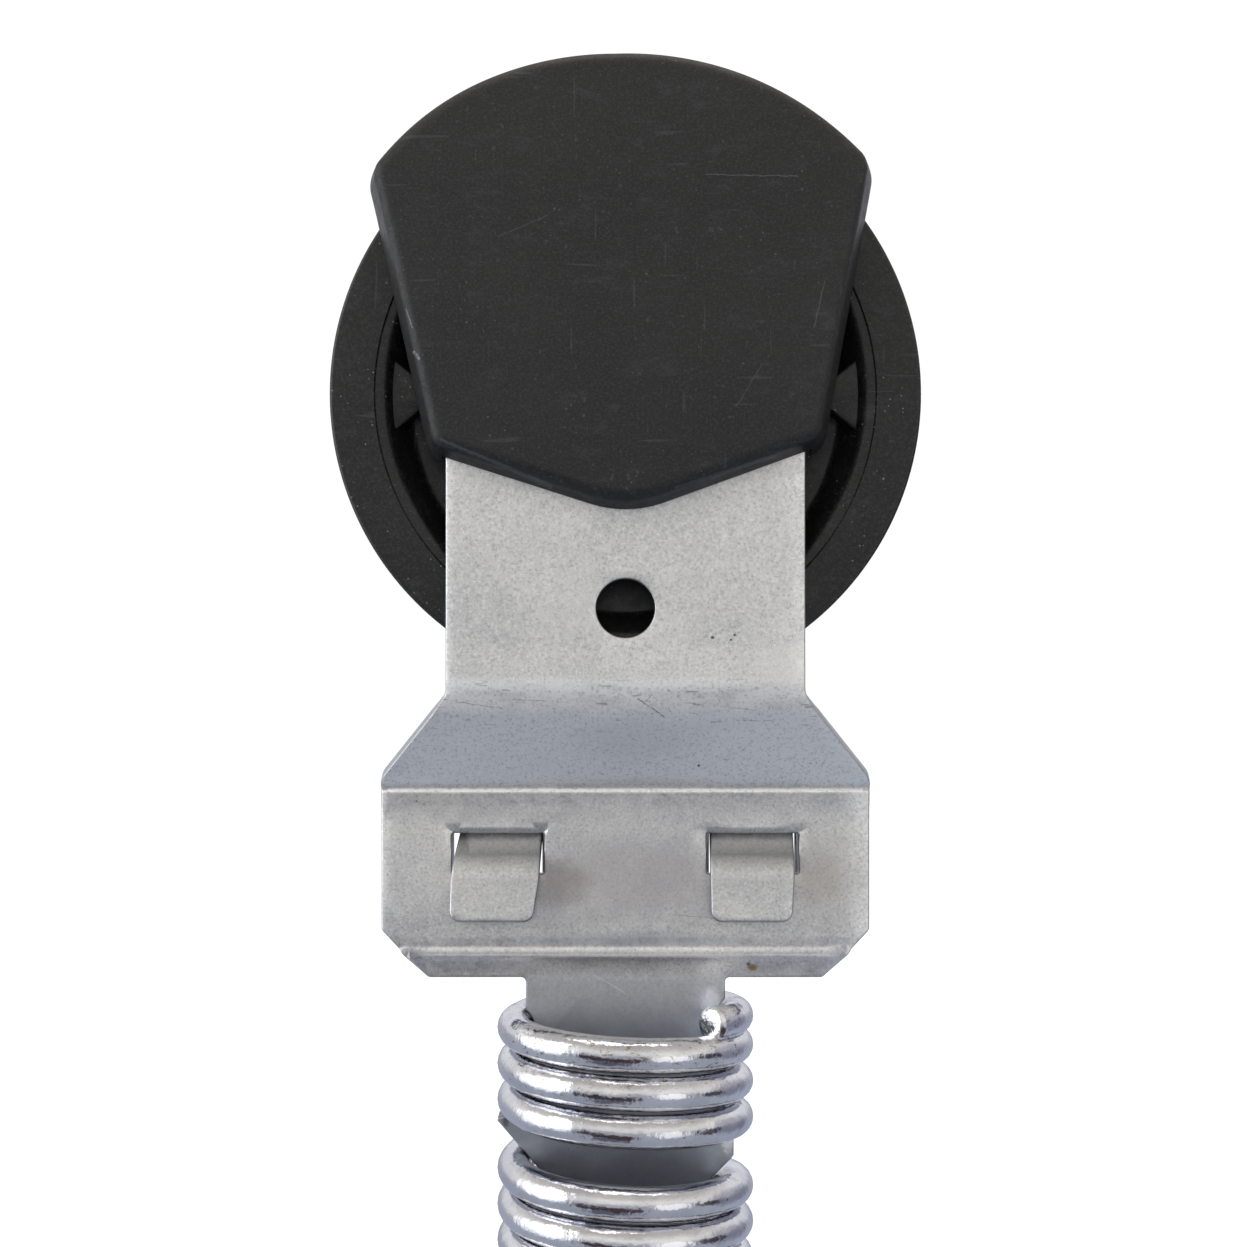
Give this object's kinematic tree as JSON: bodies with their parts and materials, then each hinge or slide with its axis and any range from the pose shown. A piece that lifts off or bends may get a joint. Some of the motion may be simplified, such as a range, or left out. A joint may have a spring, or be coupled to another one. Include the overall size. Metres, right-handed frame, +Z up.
{
  "type": "cable pulley wheel",
  "caption": "Grooved cable pulley wheel in a two-plate steel bracket with a guard hood, a toothed tongue and an extension spring with a lower anchor.",
  "frame": {"origin": "centre of the pulley wheel, on its axle", "axes": "+Y along the axle towards the lock nut, +Z up towards the hood's dome; the spring hangs along -Z"},
  "size_m": [0.1, 0.0453, 0.299],
  "materials": {
    "galvanised_steel": "galvanised, lightly scratched",
    "zinc_steel": "zinc plated, satin",
    "zinc_wire": "bright zinc-plated wire",
    "bearing_steel": "ground steel",
    "cage_brass": "pressed brass",
    "spring_steel": "phosphated",
    "seal_rubber": "matte rubber",
    "nylon_insert": "blue nylon",
    "black_nylon": "satin moulded nylon",
    "black_plastic": "matte moulded plastic"
  },
  "bodies": {
    "bracket": {"front_plate": "galvanised_steel", "rear_plate": "galvanised_steel", "axle_pin": "zinc_steel", "axle_washer": "zinc_steel", "lock_nut": "zinc_steel", "nut_locking_ring": "nylon_insert", "front_spacer": "zinc_steel", "rear_spacer": "zinc_steel", "bearing_inner_ring": "bearing_steel", "hood_front": "black_plastic", "hood_rear": "black_plastic", "extension_spring": "zinc_wire"},
    "wheel": {"pulley_wheel": "black_nylon", "bearing_outer_ring": "bearing_steel", "bearing_seal_front": "seal_rubber", "bearing_seal_rear": "seal_rubber", "retaining_ring": "spring_steel"},
    "ball_cage": {"bearing_cage": "cage_brass", "bearing_ball_1": "bearing_steel", "bearing_ball_2": "bearing_steel", "bearing_ball_3": "bearing_steel", "bearing_ball_4": "bearing_steel", "bearing_ball_5": "bearing_steel", "bearing_ball_6": "bearing_steel", "bearing_ball_7": "bearing_steel", "bearing_ball_8": "bearing_steel"},
    "lower_anchor": {"anchor_plate_front": "galvanised_steel", "anchor_plate_rear": "galvanised_steel", "anchor_rivet_left": "zinc_steel", "anchor_rivet_right": "zinc_steel", "anchor_bush": "zinc_steel"}
  },
  "joints": [
    {"name": "wheel_spin", "type": "hinge", "parent": "bracket", "child": "wheel", "pos_m": [0, 0, 0], "axis": [0, 1, 0], "continuous": true},
    {"name": "cage_orbit", "type": "hinge", "parent": "bracket", "child": "ball_cage", "pos_m": [0, 0, 0], "axis": [0, 1, 0], "continuous": true},
    {"name": "spring_extension", "type": "slide", "parent": "bracket", "child": "lower_anchor", "axis": [0, 0, -1], "range_m": [0, 0.06], "stiffness_N_per_m": 24000, "springref_m": -0.004, "deforming": ["extension_spring"]}
  ],
  "couplings": [
    {"joint": "cage_orbit", "follows": "wheel_spin", "ratio": 0.615}
  ]
}
